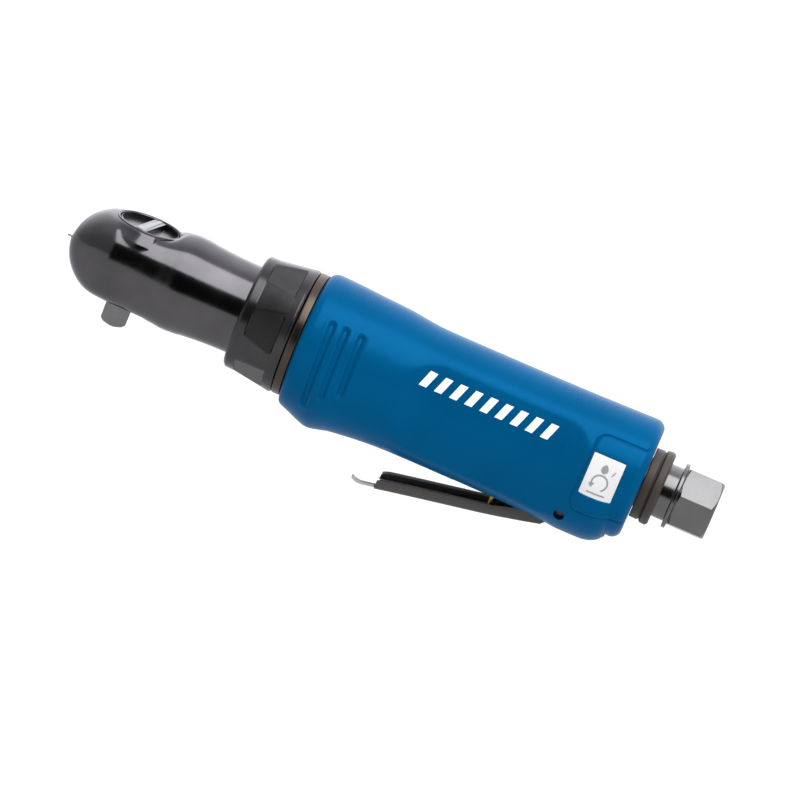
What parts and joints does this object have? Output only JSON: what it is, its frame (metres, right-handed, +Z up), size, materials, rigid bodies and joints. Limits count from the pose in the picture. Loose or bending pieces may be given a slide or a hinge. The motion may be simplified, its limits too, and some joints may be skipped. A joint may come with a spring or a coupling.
{
  "type": "air ratchet",
  "caption": "Handheld pneumatic ratchet with a quarter inch square drive, reverse knob, clamp nut, blue grip, throttle lever and hexagonal air inlet.",
  "frame": {"origin": "on the drive axis, at the face of the spindle that a socket seats against", "axes": "+X along the handle to the air inlet, +Z up through the reverse knob, the square drive points down along -Z"},
  "size_m": [0.2294, 0.0464, 0.0608],
  "materials": {
    "gunmetal": "glossy dark chrome",
    "nut_steel": "satin black oxide",
    "lock_ring": "satin brown",
    "drive_steel": "satin",
    "knob_steel": "satin",
    "blue_grip": "glossy blue",
    "lever_black": "glossy black",
    "inlet_steel": "satin",
    "inner_steel": "ground",
    "alu": "machined",
    "brass": "machined",
    "rubber": "matt",
    "vane": "pressed fibre",
    "felt": "felt",
    "label": "printed"
  },
  "bodies": {
    "housing": {"ratchet_housing": "gunmetal", "nose_pin": "inlet_steel", "thrust_washer": "brass", "retaining_ring": "inlet_steel", "bearing_block": "alu", "crank_bearing": "inner_steel", "gear_spacer": "inner_steel", "ring_gear": "inner_steel", "gear_washer": "inner_steel", "clamp_nut": "nut_steel", "lock_ring": "lock_ring", "front_end_plate": "alu", "front_rotor_bearing": "inner_steel", "cylinder_liner": "inner_steel", "rear_end_plate": "alu", "rear_rotor_bearing": "inner_steel", "cylinder_pin": "inner_steel", "housing_core": "nut_steel", "grip_shell": "blue_grip", "label_plate": "label", "lever_pin": "nut_steel", "valve_bushing": "brass", "valve_o_ring": "rubber", "valve_spring": "inner_steel", "muffler_ring": "felt", "inlet_bushing": "inlet_steel", "inlet_o_ring": "rubber", "inlet_screen": "inner_steel"},
    "spindle": {"ratchet_spindle": "drive_steel", "socket_ball": "inlet_steel", "ball_spring": "inner_steel", "pawl_pin": "inner_steel"},
    "knob": {"reverse_knob": "knob_steel", "knob_plunger": "inner_steel", "knob_spring": "inner_steel"},
    "pawl": {"pawl": "inner_steel"},
    "yoke": {"ratchet_yoke": "inner_steel"},
    "crank": {"crankshaft": "inner_steel", "drive_bushing": "brass", "planet_pins": "inner_steel"},
    "planet_1": {"planet_gear_1": "inner_steel"},
    "planet_2": {"planet_gear_2": "inner_steel"},
    "planet_3": {"planet_gear_3": "inner_steel"},
    "rotor": {"rotor": "inner_steel", "vanes": "vane"},
    "lever": {"throttle_lever": "lever_black"},
    "valve": {"throttle_valve": "brass", "valve_seal": "rubber"},
    "deflector": {"exhaust_deflector": "rubber"}
  },
  "joints": [
    {"name": "spindle_spin", "type": "hinge", "parent": "housing", "child": "spindle", "pos_m": [0, 0, 0.0146], "axis": [0, 0, 1], "continuous": true},
    {"name": "reverse_knob_turn", "type": "hinge", "parent": "spindle", "child": "knob", "pos_m": [0, 0, 0.027], "axis": [0, 0, 1], "range_deg": [0, 36]},
    {"name": "pawl_rock", "type": "hinge", "parent": "spindle", "child": "pawl", "pos_m": [0.00467, -0.00327, 0.0146], "axis": [0, 0, 1], "range_deg": [-10, 0]},
    {"name": "yoke_swing", "type": "hinge", "parent": "housing", "child": "yoke", "pos_m": [0, 0, 0.0146], "axis": [0, 0, 1], "range_deg": [-4, 4]},
    {"name": "rotor_spin", "type": "hinge", "parent": "housing", "child": "rotor", "pos_m": [0.078, 0, 0.0146], "axis": [1, 0, 0], "continuous": true},
    {"name": "crank_spin", "type": "hinge", "parent": "housing", "child": "crank", "pos_m": [0.031, 0, 0.0146], "axis": [1, 0, 0], "continuous": true},
    {"name": "planet_1_spin", "type": "hinge", "parent": "crank", "child": "planet_1", "pos_m": [0.045, 0, 0.00717], "axis": [1, 0, 0], "continuous": true},
    {"name": "planet_2_spin", "type": "hinge", "parent": "crank", "child": "planet_2", "pos_m": [0.045, 0.00643, 0.01831], "axis": [1, 0, 0], "continuous": true},
    {"name": "planet_3_spin", "type": "hinge", "parent": "crank", "child": "planet_3", "pos_m": [0.045, -0.00643, 0.01831], "axis": [1, 0, 0], "continuous": true},
    {"name": "throttle_press", "type": "hinge", "parent": "housing", "child": "lever", "pos_m": [0.1595, 0, -0.0023], "axis": [0, 1, 0], "range_deg": [0, 5], "stiffness_Nm_per_rad": 4, "springref_deg": -8.59},
    {"name": "throttle_valve_lift", "type": "slide", "parent": "housing", "child": "valve", "axis": [0, 0, 1], "range_m": [0, 0.002], "stiffness_N_per_m": 20, "springref_m": -0.002, "deforming": ["valve_spring"]},
    {"name": "deflector_swivel", "type": "hinge", "parent": "housing", "child": "deflector", "pos_m": [0.1835, 0, 0.0146], "axis": [1, 0, 0], "continuous": true}
  ],
  "couplings": [
    {"joint": "pawl_rock", "follows": "reverse_knob_turn", "ratio": -0.27778},
    {"joint": "crank_spin", "follows": "rotor_spin", "ratio": 0.22222},
    {"joint": "planet_1_spin", "follows": "rotor_spin", "ratio": -0.62222},
    {"joint": "planet_2_spin", "follows": "rotor_spin", "ratio": -0.62222},
    {"joint": "planet_3_spin", "follows": "rotor_spin", "ratio": -0.62222},
    {"joint": "throttle_valve_lift", "follows": "throttle_press", "m_per_rad": 0.0221}
  ]
}
